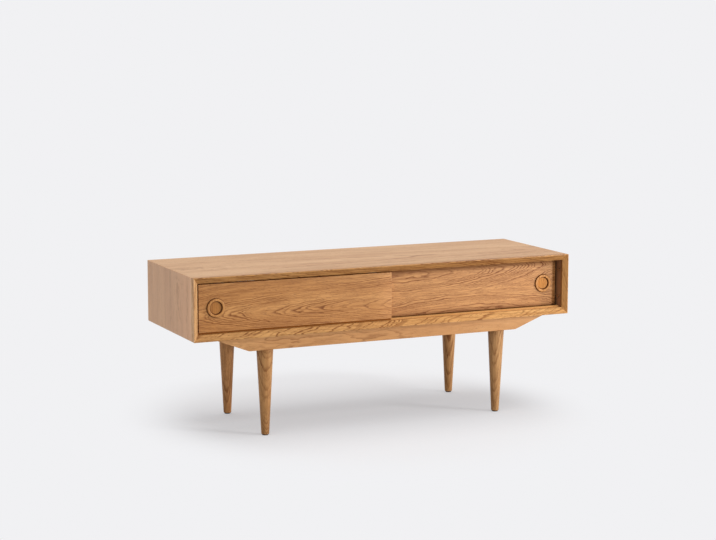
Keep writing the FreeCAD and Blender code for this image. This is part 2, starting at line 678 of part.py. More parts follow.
def make_long_rail(label, y, turn):
    """Rail over two legs; its ends slant up to the carcass."""
    body = new_body(label, "0", y, "rail_z", (0, 0, 1), turn)
    tip = "(cabinet_width / 2 - rail_end_inset)"
    heel = "(cabinet_width / 2 - rail_end_inset - rail_end_run)"
    outline = new_sketch(body, "outline", "XZ_Plane")
    add_polygon(outline, (("-" + heel, "0"), (heel, "0"),
                          (tip, "rail_height"), ("-" + tip, "rail_height")))
    pad(body, outline, "rail_width", both_ways=True)
    round_edges(body, "arris", "rail_arris_radius",
                lambda edge: edge_on(z=0)(edge) and edge.BoundBox.XLength > 1)

    inserts = new_sketch(body, "insert_holes", "XY_Plane")
    for side in (LEFT, RIGHT):
        add_circle(inserts, "%d * leg_x" % side, "0", "insert_radius + insert_fit")
    pocket(body, inserts, "insert_length", with_normal=True)

    shanks = new_sketch(body, "screw_holes", "XY_Plane")
    heads = new_sketch(body, "screw_heads", "XY_Plane")
    for column in range(BASE_SCREW_COLUMNS):
        across = "base_screw_span * %s" % (column / (BASE_SCREW_COLUMNS - 1) - 0.5)
        add_circle(shanks, across, "0", "screw_radius + screw_fit")
        add_circle(heads, across, "0", "screw_head_radius + screw_fit")
    pocket(body, shanks, "rail_height", with_normal=True)
    pocket(body, heads, "screw_head_height", with_normal=True)

    dowels = new_sketch(body, "cross_dowel_holes", "XZ_Plane", "-rail_width / 2")
    cross_dowel_circles(dowels, "cross_dowel_z", "dowel_radius + dowel_fit")
    pocket(body, dowels, "dowel_length / 2 + dowel_fit", with_normal=True)


def make_cross_rail(label, side):
    body = new_body(label, "%d * leg_x" % side, "(front_leg_y + rear_leg_y) / 2", "rail_z")
    outline = new_sketch(body, "outline", "XZ_Plane")
    add_centred_rectangle(outline, "0", "cross_dowel_z", "cross_rail_width", "cross_rail_height")
    pad(body, outline, "cross_rail_length", both_ways=True)
    for end, with_normal in ((LEFT, False), (RIGHT, True)):
        holes = new_sketch(body, "dowel_holes_%d" % (end + 1), "XZ_Plane",
                           "-(%d) * cross_rail_length / 2" % end)
        for place in (-0.5, 0.5):
            add_circle(holes, "%s * cross_dowel_spacing" % place, "cross_dowel_z",
                       "dowel_radius + dowel_fit")
        pocket(body, holes, "dowel_length / 2 + dowel_fit", with_normal=with_normal)


def make_cross_dowels():
    body = new_body("cross_rail_dowels", "0", "front_leg_y + rail_width / 2", "rail_z")
    ends = new_sketch(body, "ends", "XZ_Plane")
    cross_dowel_circles(ends, "cross_dowel_z", "dowel_radius")
    front_row = pad(body, ends, "dowel_length", both_ways=True)
    repeat(body, front_row, ("Y_Axis", "cross_rail_length", 2))


def make_base_screws():
    points = (("0", "0"), ("screw_head_radius", "0"), ("screw_radius", "screw_head_height"),
              ("screw_radius", "screw_length - screw_tip"), ("0", "screw_length"))
    body, first = screw("base_screws", "-base_screw_span / 2", "front_leg_y", "rail_z",
                        "XZ_Plane", points)
    repeat(body, first, ("X_Axis", "base_screw_span", BASE_SCREW_COLUMNS),
           ("Y_Axis", "leg_spread", 2))


def make_leg(label, x, y):
    """Upright turned leg, tapered to the foot."""
    body = new_body(label, x, y, "glide_thickness")
    profile = new_sketch(body, "profile", "XZ_Plane")
    add_polygon(profile, (("0", "0"), ("leg_foot_radius", "0"),
                          ("leg_top_radius", "leg_length"), ("0", "leg_length")))
    revolve(body, profile)
    round_edges(body, "foot", "leg_arris_radius", edge_on(z=0))
    round_edges(body, "shoulder", "leg_arris_radius", edge_on(z=size_of("leg_length")))
    bolt_hole = new_sketch(body, "bolt_hole", "XY_Plane", "leg_length")
    add_circle(bolt_hole, "0", "0", "bolt_radius + bolt_fit")
    pocket(body, bolt_hole, "bolt_leg_length + bolt_fit")
    pin_hole = new_sketch(body, "pin_hole", "XY_Plane")
    add_circle(pin_hole, "0", "0", "glide_pin_radius + pin_fit")
    pocket(body, pin_hole, "glide_pin_length + pin_fit", with_normal=True)


def make_glide(label, x, y):
    """Disc with a bevelled sole and a nail driven into the foot."""
    body = new_body(label, x, y)
    profile = new_sketch(body, "profile", "XZ_Plane")
    add_polygon(profile, (("0", "0"), ("glide_radius - glide_bevel", "0"),
                          ("glide_radius", "glide_bevel"), ("glide_radius", "glide_thickness"),
                          ("glide_pin_radius", "glide_thickness"),
                          ("glide_pin_radius", "glide_thickness + glide_pin_length"),
                          ("0", "glide_thickness + glide_pin_length")))
    revolve(body, profile)


def make_leg_fixings():
    """An insert in the rail above each leg, and the hanger bolt that joins them."""
    inserts = new_body("leg_inserts", "-leg_x", "front_leg_y", "rail_z")
    ring = new_sketch(inserts, "ring", "XY_Plane")
    add_circle(ring, "0", "0", "insert_radius")
    add_circle(ring, "0", "0", "bolt_radius + bolt_fit")
    grid = (("X_Axis", "2 * leg_x", 2), ("Y_Axis", "leg_spread", 2))
    repeat(inserts, pad(inserts, ring, "insert_length"), *grid)
    bolts = new_body("leg_bolts", "-leg_x", "front_leg_y", "rail_z - bolt_leg_length")
    shank = new_sketch(bolts, "shank", "XY_Plane")
    add_circle(shank, "0", "0", "bolt_radius")
    repeat(bolts, pad(bolts, shank, "bolt_leg_length + insert_length"), *grid)


def make_base():
    make_long_rail("front_rail", "front_leg_y", 0)
    make_long_rail("rear_rail", "rear_leg_y", 180)
    for side, side_word in ((LEFT, "left"), (RIGHT, "right")):
        make_cross_rail(side_word + "_cross_rail", side)
        for end_word in ("front", "rear"):
            place = ("%d * leg_x" % side, end_word + "_leg_y")
            make_leg("%s_%s_leg" % (end_word, side_word), *place)
            make_glide("%s_%s_glide" % (end_word, side_word), *place)
    make_cross_dowels()
    make_base_screws()
    make_leg_fixings()


# ---------------------------------------------------------------- build and write

def check_model():
    """Every object is sound, and every sub-part holds a valid shape."""
    for item in document.Objects:
        if "Invalid" in item.State or "Error" in item.State:
            raise ValueError(item.Name + " failed: " + ", ".join(item.State))
    for body in bodies:
        if body.Shape.isNull() or not body.Shape.isValid() or not body.Shape.Solids:
            raise ValueError(body.Label + " has no valid solid")


def write_parts():
    os.makedirs("parts", exist_ok=True)
    for body in bodies:
        body.Shape.exportStep(os.path.join("parts", body.Label + ".step"))
        box = body.Shape.BoundBox
        corners = (box.XMin, box.XMax, box.YMin, box.YMax, box.ZMin, box.ZMax)
        print("%-24s %2d solids " % (body.Label, len(body.Shape.Solids))
              + " ".join("%8.2f" % value for value in corners))


make_carcass()
make_corner_splines()
make_back_panel()
make_back_screws()
make_divider()
make_tracks()
make_doors()
make_buffers()
make_base()
document.recompute()
check_model()
write_parts()
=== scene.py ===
"""Low oak cabinet with two sliding doors: its finishes, its cross-recessed screws and its studio.

Metres, in the cabinet's own frame: X along the front, Y from the front to the back, Z up.
"""
import json
import math

import bmesh
import bpy
from bpy.props import FloatProperty, FloatVectorProperty, PointerProperty
from mathutils import Matrix, Vector

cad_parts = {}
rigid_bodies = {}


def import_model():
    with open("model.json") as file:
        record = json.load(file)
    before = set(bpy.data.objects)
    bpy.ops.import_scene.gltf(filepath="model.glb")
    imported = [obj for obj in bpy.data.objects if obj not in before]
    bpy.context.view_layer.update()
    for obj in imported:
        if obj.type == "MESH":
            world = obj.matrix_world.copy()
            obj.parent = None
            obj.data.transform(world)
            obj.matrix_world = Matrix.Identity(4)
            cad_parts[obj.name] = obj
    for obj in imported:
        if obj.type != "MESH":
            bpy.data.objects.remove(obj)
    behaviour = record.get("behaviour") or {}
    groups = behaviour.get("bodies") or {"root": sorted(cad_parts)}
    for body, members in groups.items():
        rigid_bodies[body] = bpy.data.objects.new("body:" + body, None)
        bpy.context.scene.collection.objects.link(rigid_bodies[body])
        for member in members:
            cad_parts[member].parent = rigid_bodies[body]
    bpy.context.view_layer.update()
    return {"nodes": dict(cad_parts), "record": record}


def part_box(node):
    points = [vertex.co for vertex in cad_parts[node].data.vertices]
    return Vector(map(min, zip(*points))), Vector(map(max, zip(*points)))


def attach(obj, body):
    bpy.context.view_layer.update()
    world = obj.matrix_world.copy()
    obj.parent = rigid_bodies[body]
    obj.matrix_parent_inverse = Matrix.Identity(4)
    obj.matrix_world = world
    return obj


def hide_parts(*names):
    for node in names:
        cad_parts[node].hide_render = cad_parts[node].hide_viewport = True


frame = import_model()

bl_info = {
    "name": "Sliding door cabinet",
    "version": (1, 0, 0),
    "blender": (4, 5, 0),
    "location": "3D View > Sidebar > Cabinet",
    "description": "Finishes the parts of an oak cabinet and lights it",
    "category": "Object",
}

X, Y, Z = Vector((1, 0, 0)), Vector((0, 1, 0)), Vector((0, 0, 1))
SLOT_OF = {row["node"]: row["material_slot"] for row in frame["record"]["subparts"]}


# ---------------------------------------------------------------- settings

class OakSettings(bpy.types.PropertyGroup):
    """Colours and grain of the oiled oak."""
    pale: FloatVectorProperty(
        name="Pale wood", description="Smooth wood between the growth rings",
        subtype="COLOR", size=3, min=0, max=1, default=(0.585, 0.292, 0.095))
    warm: FloatVectorProperty(
        name="Warm wood", description="The broad darker bands of a board",
        subtype="COLOR", size=3, min=0, max=1, default=(0.490, 0.222, 0.064))
    ring: FloatVectorProperty(
        name="Ring", description="Porous wood laid down in spring",
        subtype="COLOR", size=3, min=0, max=1, default=(0.215, 0.070, 0.012))
    pore: FloatVectorProperty(
        name="Pore", description="Open pores filled with oil",
        subtype="COLOR", size=3, min=0, max=1, default=(0.130, 0.040, 0.007))
    ray: FloatVectorProperty(
        name="Ray", description="Flecks where the rays of the log are cut",
        subtype="COLOR", size=3, min=0, max=1, default=(0.640, 0.360, 0.160))
    # Colour of dust, and in most places of painted shade in corners, gaps, recesses and under
    # parts
    dirt_and_shade: FloatVectorProperty(
        name="Dirt And Shade", description="Oil and dust that gather in corners and gaps",
        subtype="COLOR", size=3, min=0, max=1, default=(0.100, 0.024, 0.002))
    ring_width: FloatProperty(
        name="Ring width", description="From one growth ring to the next",
        unit="LENGTH", min=0.001, max=0.02, default=0.0030)
    wander: FloatProperty(
        name="Wander", description="How far the rings stray from true circles",
        unit="LENGTH", min=0, max=0.05, default=0.010)
    relief: FloatProperty(
        name="Relief", description="Depth of the open grain",
        unit="LENGTH", min=0, max=0.001, default=0.0002)


class StudioSettings(bpy.types.PropertyGroup):
    """Camera, lamps and floor."""
    camera_place: FloatVectorProperty(
        name="Camera", description="Where the camera stands",
        subtype="TRANSLATION", unit="LENGTH", size=3, default=(-2.29518, -4.94932, 1.23281))
    camera_turn: FloatProperty(
        name="Turn", description="How far the camera turns to the right of straight on",
        subtype="ANGLE", default=math.radians(24.7933))
    camera_dip: FloatProperty(
        name="Dip", description="How far the camera looks down",
        subtype="ANGLE", default=math.radians(8.3509))
    camera_roll: FloatProperty(
        name="Roll", description="How far the camera leans",
        subtype="ANGLE", default=math.radians(0.0909))
    lens: FloatProperty(
        name="Lens", description="Focal length on a 36 mm sensor, in millimetres",
        min=10, max=300, default=92.83)
    backdrop: FloatVectorProperty(
        name="Backdrop", description="Colour of the empty background",
        subtype="COLOR", size=3, min=0, max=1, default=(0.879, 0.879, 0.896))
    floor: FloatVectorProperty(
        name="Floor", description="Colour of the floor's paint",
        subtype="COLOR", size=3, min=0, max=1, default=(0.42, 0.42, 0.425))
    floor_lift: FloatVectorProperty(
        name="Floor lift", description="Added to the floor's colour where the camera sees it",
        subtype="COLOR", size=3, min=0, max=1, default=(0.364, 0.364, 0.376))
    floor_reach: FloatVectorProperty(
        name="Floor reach", description="How far along and back the floor fades into the backdrop",
        unit="LENGTH", size=2, min=0.1, max=20, default=(0.74, 0.83))
    sky: FloatProperty(
        name="Sky", description="Even light from all round",
        min=0, max=2, default=0.68)
    key_power: FloatProperty(
        name="Key", description="Lamp in front, on the right",
        unit="POWER", min=0, max=1000, default=35)
    key_place: FloatVectorProperty(
        name="Key place", description="Where the lamp in front stands",
        subtype="TRANSLATION", unit="LENGTH", size=3, default=(1.66, -2.20, 0.60))
    side_power: FloatProperty(
        name="Side", description="Lamp far out on the right",
        unit="POWER", min=0, max=1000, default=44)
    side_place: FloatVectorProperty(
        name="Side place", description="Where the lamp on the right stands",
        subtype="TRANSLATION", unit="LENGTH", size=3, default=(3.20, -1.80, 1.20))
    lamp_size: FloatProperty(
        name="Lamp size", description="Width of the two lamps",
        unit="LENGTH", min=0.01, max=3, default=0.40)
    overhead: FloatProperty(
        name="Overhead", description="Wide soft light from above",
        min=0, max=10, default=1.35)
    overhead_spread: FloatProperty(
        name="Overhead spread", description="Width of the soft light from above",
        subtype="ANGLE", default=math.radians(60))
    slant: FloatProperty(
        name="Slant", description="Narrow light from the right that draws the legs' shadows",
        min=0, max=10, default=0.75)
    slant_towards: FloatVectorProperty(
        name="Slant towards", description="Which way the narrow light travels",
        subtype="DIRECTION", size=3, default=(-0.605, 0.550, -0.575))
    slant_spread: FloatProperty(
        name="Slant spread", description="Width of the narrow light",
        subtype="ANGLE", default=math.radians(11))
    floor_radius: FloatProperty(
        name="Floor radius", description="How far the floor goes on",
        unit="LENGTH", min=2, max=200, default=60)


# ---------------------------------------------------------------- shader nodes

class Nodes:
    """Short ways to add nodes to one tree and to link them."""

    def __init__(self, tree):
        self.tree = tree

    def add(self, kind, inputs=None, **settings):
        node = self.tree.nodes.new(kind)
        for name, value in settings.items():
            setattr(node, name, value)
        for name, value in (inputs or {}).items():
            self.feed(node.inputs[name], value)
        return node

    def feed(self, socket, value):
        """Link a socket to another one, or set it to a plain value."""
        if isinstance(value, bpy.types.NodeSocket):
            self.tree.links.new(value, socket)
        else:
            socket.default_value = value

    def group(self, tree, inputs):
        return self.add("ShaderNodeGroup", inputs, node_tree=tree)

    def calc(self, operation, first, second=0.0):
        return self.add("ShaderNodeMath", {0: first, 1: second}, operation=operation).outputs[0]

    def vector(self, operation, first, second=(0, 0, 0)):
        return self.add("ShaderNodeVectorMath", {0: first, 1: second},
                        operation=operation).outputs[0]

    def split(self, vector):
        return self.add("ShaderNodeSeparateXYZ", {"Vector": vector}).outputs

    def ramp(self, value, low, high, start=0.0, end=1.0):
        """A smooth step from start to end while value goes from low to high."""
        node = self.add("ShaderNodeMapRange", {"Value": value, "From Min": low, "From Max": high,
                                               "To Min": start, "To Max": end},
                        interpolation_type="SMOOTHSTEP")
        return node.outputs["Result"]

    def fall(self, value, low, high):
        """A smooth step from 1 to 0 while value goes from low to high."""
        return self.ramp(value, low, high, 1.0, 0.0)

    def noise(self, vector, scale=1.0, detail=2.0, roughness=0.5):
        """Outputs of a noise texture: the value first, and a colour of three free values."""
        return self.add("ShaderNodeTexNoise", {"Vector": vector, "Scale": scale, "Detail": detail,
                                               "Roughness": roughness}).outputs

    def mix(self, mask, under, over, blend="MIX"):
        """Colour over laid on colour under where mask is 1."""
        return self.add("ShaderNodeMix", {0: mask, 6: under, 7: over}, data_type="RGBA",
                        blend_type=blend).outputs[2]

    def depth_in_box(self, place, middle, half_size):
        """How far a place lies inside a box, along X, Y and Z."""
        from_middle = self.vector("ABSOLUTE", self.vector("SUBTRACT", place, middle))
        return self.split(self.vector("SUBTRACT", half_size, from_middle))


def rgba(colour):
    return (*colour, 1.0)


FLOAT, VECTOR, COLOUR = "NodeSocketFloat", "NodeSocketVector", "NodeSocketColor"
GRAIN_INPUTS = [("Position", VECTOR, None), ("Ring Width", FLOAT, 0.003),
                ("Pith Depth", FLOAT, 0.03), ("Taper", FLOAT, 0.02), ("Wander", FLOAT, 0.01),
                ("Bow", FLOAT, 0.0), ("Crown", FLOAT, 0.0), ("Leaf Edge", FLOAT, -1.0),
                ("Leaf Shift", FLOAT, 0.0)]


def new_group(name, inputs, outputs):
    """An empty shader group; inputs are (name, socket type, default), outputs (name, type)."""
    tree = bpy.data.node_groups.new(name, "ShaderNodeTree")
    for label, kind, default in inputs:
        socket = tree.interface.new_socket(label, in_out="INPUT", socket_type=kind)
        if default is not None:
            socket.default_value = default
    for label, kind in outputs:
        tree.interface.new_socket(label, in_out="OUTPUT", socket_type=kind)
    nodes = Nodes(tree)
    given = nodes.add("NodeGroupInput").outputs
    result = nodes.add("NodeGroupOutput").inputs
    return nodes, given, result


def build_oak_grain():
    """Growth rings, pores, rays and streaks of a board cut from a log.

    The position runs along the grain in X, across the face in Y and out of the face in Z.
    """
    year_swing = 3.0        # rings by which slow noise crowds and spreads the years
    ragged_swing = 0.45     # rings by which fine noise frays their edges
    summer_pores = 0.25     # share of the pores outside the spring wood
    nodes, given, result = new_group(
        "Oak grain", GRAIN_INPUTS,
        [("Rings", FLOAT), ("Pores", FLOAT), ("Rays", FLOAT), ("Bands", FLOAT),
         ("Streaks", FLOAT)])
    x, y, z = nodes.split(given["Position"])
    from_joint = nodes.calc("SUBTRACT", y, given["Leaf Edge"])
    second_leaf = nodes.calc("LESS_THAN", from_joint, 0.0)
    x = nodes.calc("ADD", x, nodes.calc("MULTIPLY", second_leaf, given["Leaf Shift"]))
    y = nodes.calc("ADD", given["Leaf Edge"], nodes.calc("ABSOLUTE", from_joint))
    place = nodes.add("ShaderNodeCombineXYZ", {"X": x, "Y": y, "Z": z}).outputs[0]

    def pattern(along, across, out, detail=2.0, roughness=0.5):
        """Noise with so many waves a metre along the grain, across the face and out of it."""
        return nodes.noise(nodes.vector("MULTIPLY", place, (along, across, out)),
                           detail=detail, roughness=roughness)

    def strayed(value, noise, share):
        """The value, moved by noise up to a share of the wander."""
        shift = nodes.calc("MULTIPLY", nodes.calc("SUBTRACT", noise, 0.5),
                           nodes.calc("MULTIPLY", given["Wander"], share))
        return nodes.calc("ADD", value, shift)

    drift = pattern(along=2.2, across=5, out=5, detail=3.0)["Color"]
    drift_y, drift_z, drift_out = nodes.add("ShaderNodeSeparateColor", {"Color": drift}).outputs
    flame = pattern(along=14, across=60, out=60)[0]
    from_heart_y = strayed(y, drift_y, share=2.4)
    from_heart_z = strayed(nodes.calc("ADD", z, given["Pith Depth"]), drift_z, share=2.0)
    squared = nodes.calc("ADD", nodes.calc("MULTIPLY", from_heart_y, from_heart_y),
                         nodes.calc("MULTIPLY", from_heart_z, from_heart_z))
    radius = strayed(nodes.calc("SQRT", squared), drift_out, share=0.8)
    radius = strayed(radius, flame, share=1.0)
    radius = nodes.calc("ADD", radius, nodes.calc("MULTIPLY", x, given["Taper"]))
    from_crown = nodes.calc("SUBTRACT", x, given["Crown"])
    bowed = nodes.calc("MULTIPLY", nodes.calc("MULTIPLY", from_crown, from_crown), given["Bow"])
    radius = nodes.calc("ADD", radius, bowed)

    def by_year(per_metre, detail):
        """Noise that changes from ring to ring and is the same all round each one."""
        return nodes.add("ShaderNodeTexNoise", {"W": nodes.calc("MULTIPLY", radius, per_metre),
                                                "Scale": 1.0, "Detail": detail},
                         noise_dimensions="1D").outputs[0]

    ragged = pattern(along=26, across=420, out=420)[0]
    slow = by_year(per_metre=90.0, detail=1.0)
    count = nodes.calc("DIVIDE", radius, given["Ring Width"])
    count = nodes.calc("ADD", count, nodes.calc("MULTIPLY", slow, year_swing))
    count = nodes.calc("ADD", count, nodes.calc("MULTIPLY", ragged, ragged_swing))
    season = nodes.calc("FRACT", count)
    spring = nodes.calc("MULTIPLY", nodes.ramp(season, low=0.0, high=0.12),
                        nodes.fall(season, low=0.16, high=0.62))
    rich_year = nodes.ramp(by_year(per_metre=95.0, detail=2.0), low=0.40, high=0.60, start=0.15)
    strength = nodes.ramp(pattern(along=3.5, across=22, out=22)[0], low=0.40, high=0.60,
                          start=0.35)
    nodes.feed(result["Rings"], nodes.calc(
        "MULTIPLY", nodes.calc("MULTIPLY", spring, rich_year), strength))

    vessels = nodes.ramp(pattern(along=90, across=1700, out=1700, detail=1.0)[0],
                         low=0.58, high=0.70)
    open_wood = nodes.calc("ADD", summer_pores, nodes.calc("MULTIPLY", spring, 1 - summer_pores))
    nodes.feed(result["Pores"], nodes.calc("MULTIPLY", vessels, open_wood))
    flecks = pattern(along=60, across=800, out=70, detail=1.5)[0]
    nodes.feed(result["Rays"], nodes.ramp(flecks, low=0.62, high=0.74))
    broad = pattern(along=1.6, across=14, out=14, detail=3.0)[0]
    nodes.feed(result["Bands"], nodes.ramp(broad, low=0.32, high=0.68))
    fine = pattern(along=14, across=230, out=230, detail=3.0, roughness=0.7)[0]
    nodes.feed(result["Streaks"], nodes.ramp(fine, low=0.40, high=0.64))
    return nodes.tree


def build_oiled_oak(grain):
    """Colour, roughness and relief of oiled oak from its grain."""
    ring_relief = 0.25      # share of the relief that the rings have; the pores have the rest
    nodes, given, result = new_group(
        "Oiled oak",
        [*GRAIN_INPUTS, ("Contrast", FLOAT, 1.0), ("Matt", FLOAT, 0.42),
         ("Tint", COLOUR, (1, 1, 1, 1)), ("Pale", COLOUR, None), ("Warm", COLOUR, None),
         ("Ring", COLOUR, None), ("Pore", COLOUR, None), ("Ray", COLOUR, None),
         ("Dirt And Shade Colour", COLOUR, None), ("Wear", FLOAT, 0.0), ("Dirt And Shade", FLOAT, 0.0)],
        [("Colour", COLOUR), ("Roughness", FLOAT), ("Height", FLOAT)])
    figure = nodes.group(grain, {name: given[name] for name, _, _ in GRAIN_INPUTS}).outputs
    rings, pores, rays = figure["Rings"], figure["Pores"], figure["Rays"]

    def share(mask, amount):
        """Part of a mask, by the board's contrast."""
        return nodes.calc("MULTIPLY", mask, nodes.calc("MULTIPLY", given["Contrast"], amount))

    def part(mask, amount):
        return nodes.calc("MULTIPLY", mask, amount)

    colour = nodes.mix(figure["Bands"], given["Pale"], given["Warm"])
    colour = nodes.mix(share(figure["Streaks"], amount=0.26), colour, given["Ring"])
    colour = nodes.mix(share(rings, amount=0.84), colour, given["Ring"])
    colour = nodes.mix(part(rays, amount=0.22), colour, given["Ray"])
    colour = nodes.mix(share(pores, amount=0.75), colour, given["Pore"])
    colour = nodes.mix(1.0, colour, given["Tint"], blend="MULTIPLY")
    colour = nodes.mix(part(given["Wear"], amount=0.35), colour, given["Ray"])
    # Dust and painted shade darken the wood towards their colour last
    nodes.feed(result["Colour"], nodes.mix(given["Dirt And Shade"], colour, given["Dirt And Shade Colour"]))

    rough = given["Matt"]
    for extra in (part(rings, amount=0.10), part(given["Dirt And Shade"], amount=0.40),
                  part(pores, amount=0.22), part(rays, amount=-0.06)):
        rough = nodes.calc("ADD", rough, extra)
    nodes.feed(result["Roughness"], rough)
    dip = nodes.calc("ADD", part(rings, ring_relief), part(pores, 1 - ring_relief))
    nodes.feed(result["Height"], nodes.calc("SUBTRACT", 1.0, dip))
    return nodes.tree


def build_edge_wear():
    """1 on the edges of a box-shaped board, in patches, and 0 past the reach from them."""
    nodes, given, result = new_group(
        "Edge wear",
        [("Position", VECTOR, None), ("Middle", VECTOR, None), ("Half Size", VECTOR, None),
         ("Reach", FLOAT, 0.003)],
        [("Wear", FLOAT)])
    x, y, z = nodes.depth_in_box(given["Position"], given["Middle"], given["Half Size"])
    from_edge = nodes.calc("MINIMUM", nodes.calc("MAXIMUM", x, y),
                           nodes.calc("MINIMUM", nodes.calc("MAXIMUM", y, z),
                                      nodes.calc("MAXIMUM", x, z)))
    near = nodes.calc("SUBTRACT", 1.0, nodes.calc("DIVIDE", from_edge, given["Reach"]))
    patchy = nodes.noise(given["Position"], scale=35.0, detail=3.0)[0]
    nodes.feed(result["Wear"], nodes.calc("MULTIPLY", nodes.ramp(near, low=0.0, high=1.0),
                                          nodes.ramp(patchy, low=0.42, high=0.62)))
    return nodes.tree


def build_pull_shade():
    """Painted shade round a pull: on its outer wall, on the wall of its dish and on the door
    beside it; and a mask of its dish floor.
    """
    nodes, given, result = new_group(
        "Pull shade",
        [("Position", VECTOR, None), ("Centre", VECTOR, None), ("Rim Radius", FLOAT, 0.0265),
         ("Dish Radius", FLOAT, 0.019)],
        [("On Pull", FLOAT), ("On Door", FLOAT), ("Dish", FLOAT)])
    x, depth, z = nodes.split(nodes.vector("SUBTRACT", given["Position"], given["Centre"]))
    radius = nodes.calc("SQRT", nodes.calc("ADD", nodes.calc("MULTIPLY", x, x),
                                           nodes.calc("MULTIPLY", z, z)))
    past_rim = nodes.calc("SUBTRACT", radius, given["Rim Radius"])
    past_dish = nodes.calc("SUBTRACT", radius, given["Dish Radius"])
    deep = nodes.ramp(depth, low=0.0008, high=0.0026)
    outer_wall = nodes.ramp(past_rim, low=-0.0014, high=-0.0004)
    dish_wall = nodes.calc("MULTIPLY", nodes.ramp(past_dish, low=-0.0032, high=-0.0012),
                           nodes.fall(past_dish, low=0.0006, high=0.0016))
    in_dish = nodes.fall(past_dish, low=-0.0030, high=-0.0015)
    nodes.feed(result["On Pull"],
               nodes.calc("MULTIPLY", deep, nodes.calc("MAXIMUM", outer_wall, dish_wall)))
    nodes.feed(result["On Door"], nodes.fall(past_rim, low=0.0004, high=0.0020))
    nodes.feed(result["Dish"], nodes.calc("MULTIPLY", deep, in_dish))
    return nodes.tree


def build_inside_shade():
    """1 well inside a box and 0 outside it, for the faces that look inwards."""
    nodes, given, result = new_group(
        "Inside shade",
        [("Position", VECTOR, None), ("Middle", VECTOR, None), ("Half Size", VECTOR, None)],
        [("Dirt And Shade", FLOAT)])
    x, y, z = nodes.depth_in_box(given["Position"], given["Middle"], given["Half Size"])
    depth = nodes.calc("MINIMUM", x, nodes.calc("MINIMUM", y, z))
    nodes.feed(result["Dirt And Shade"], nodes.ramp(depth, low=-0.0005, high=0.0015))
    return nodes.tree


def build_fine_grit():
    """Small even mottling for plastic, rubber, zinc and bare wood."""
    nodes, given, result = new_group(
        "Fine grit",
        [("Position", VECTOR, None), ("Scale", FLOAT, 900.0), ("Base", COLOUR, None),
         ("Dusty", COLOUR, None)],
        [("Colour", COLOUR), ("Grit", FLOAT)])
    broad = nodes.noise(given["Position"], scale=40.0, detail=3.0)[0]
    nodes.feed(result["Colour"], nodes.mix(nodes.ramp(broad, low=0.35, high=0.75),
                                           given["Base"], given["Dusty"]))
    nodes.feed(result["Grit"], nodes.noise(given["Position"], given["Scale"], detail=3.0)[0])
    return nodes.tree


# ---------------------------------------------------------------- masks of dirt, tone and painted shade

def shared_group(name, build, *needs):
    return bpy.data.node_groups.get(name) or build(*needs)


def pull_shade(pull, output):
    """One of the masks round a pull: painted shade on the pull itself or on its door, or its dish
    floor.
    """
    low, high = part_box(pull)
    rim = ((low[0] + high[0]) / 2, low[1], (low[2] + high[2]) / 2)

    def mask(nodes, place):
        return nodes.group(shared_group("Pull shade", build_pull_shade),
                           {"Position": place, "Centre": rim}).outputs[output]

    return mask


def door_shade(door, pull, top, bottom):
    """Painted shade round the pull of a door and along its top and bottom, each (reach, amount).
    """
    round_pull = pull_shade(pull, "On Door")
    low, high = (corner[2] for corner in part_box(door))

    def mask(nodes, place):
        height = nodes.split(place)[2]
        at_top = nodes.ramp(height, high - top[0], high, 0.0, top[1])
        at_bottom = nodes.ramp(height, low + bottom[0], low, 0.0, bottom[1])
        return nodes.calc("MAXIMUM", round_pull(nodes, place),
                          nodes.calc("MAXIMUM", at_top, at_bottom))

    return mask


def paler_right_end(nodes, place):
    """The right end of the front door, paler and bluer."""
    start, full = 0.060, 0.001          # from that end
    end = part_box("front_door_panel")[1][0]
    return nodes.ramp(nodes.split(place)[0], end - start, end - full)


def upper_face(nodes, place):
    """The upper face of the front door, painted a deep red-brown shade for light that only comes
    in between oiled boards.
    """
    start, full = 0.0005, 0.0001        # below that face
    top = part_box("front_door_panel")[1][2]
    return nodes.ramp(nodes.split(place)[2], top - start, top - full)


def front_of_side(nodes, place):
    """The front part of a side panel, paler and bluer."""
    start, full = 0.0, -0.18            # in Y
    return nodes.ramp(nodes.split(place)[1], start, full)


def left_of_strip(nodes, place):
    """The left part of the lower edging strip, darker as painted shade for the lamps' falloff
    towards the left.
    """
    start, full = 0.05, -0.30           # in X
    return nodes.ramp(nodes.split(place)[0], start, full)


def floor_grime(nodes, place):
    """Dust on the carcass floor behind the doors."""
    blur, amount = 0.001, 0.30
    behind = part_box("rear_door_panel")[0][1]
    return nodes.ramp(nodes.split(place)[1], behind - blur, behind + blur, 0.0, amount)


def inside_shade(nodes, place):
    """Painted shade on the carcass's inner faces, behind the bevel of its edging, which darkens
    the gaps round the doors.
    """
    into_board, half_depth, amount = 0.003, 0.1885, 0.6
    low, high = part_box("left_side_panel")[1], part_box("right_side_panel")[0]
    floor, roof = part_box("bottom_panel")[1][2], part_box("top_panel")[0][2]
    half_size = ((high[0] - low[0]) / 2 + into_board, half_depth, (roof - floor) / 2 + into_board)
    inside = nodes.group(shared_group("Inside shade", build_inside_shade), {
        "Position": place, "Middle": (0, 0, (floor + roof) / 2), "Half Size": half_size})
    return nodes.calc("MULTIPLY", inside.outputs["Dirt And Shade"], amount)


def leg_shade(nodes, place):
    """Painted shade on a leg: a little darker towards the foot, and right below the rail."""
    foot_reach, foot_amount = 0.20, 0.18
    rail_start, rail_full, rail_amount = 0.222, 0.250, 0.30
    height = nodes.split(place)[2]
    return nodes.calc("MAXIMUM", nodes.ramp(height, foot_reach, 0.0, 0.0, foot_amount),
                      nodes.ramp(height, rail_start, rail_full, 0.0, rail_amount))


def under_the_door(nodes, place):
    """1 where the closed front door covers its track, for painted shade under the door."""
    before, past = 0.003, 0.001         # the door's right end
    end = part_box("front_door_panel")[1][0]
    return nodes.fall(nodes.split(place)[0], end - before, end + past)


# ---------------------------------------------------------------- finishes

ONE_LEAF = (-1.0, 0.0)      # a joint of the veneer that lies far off every board
OAK_BUMP, GRIT_BUMP = 0.6, 0.4
GRIT_RELIEF = 0.00005

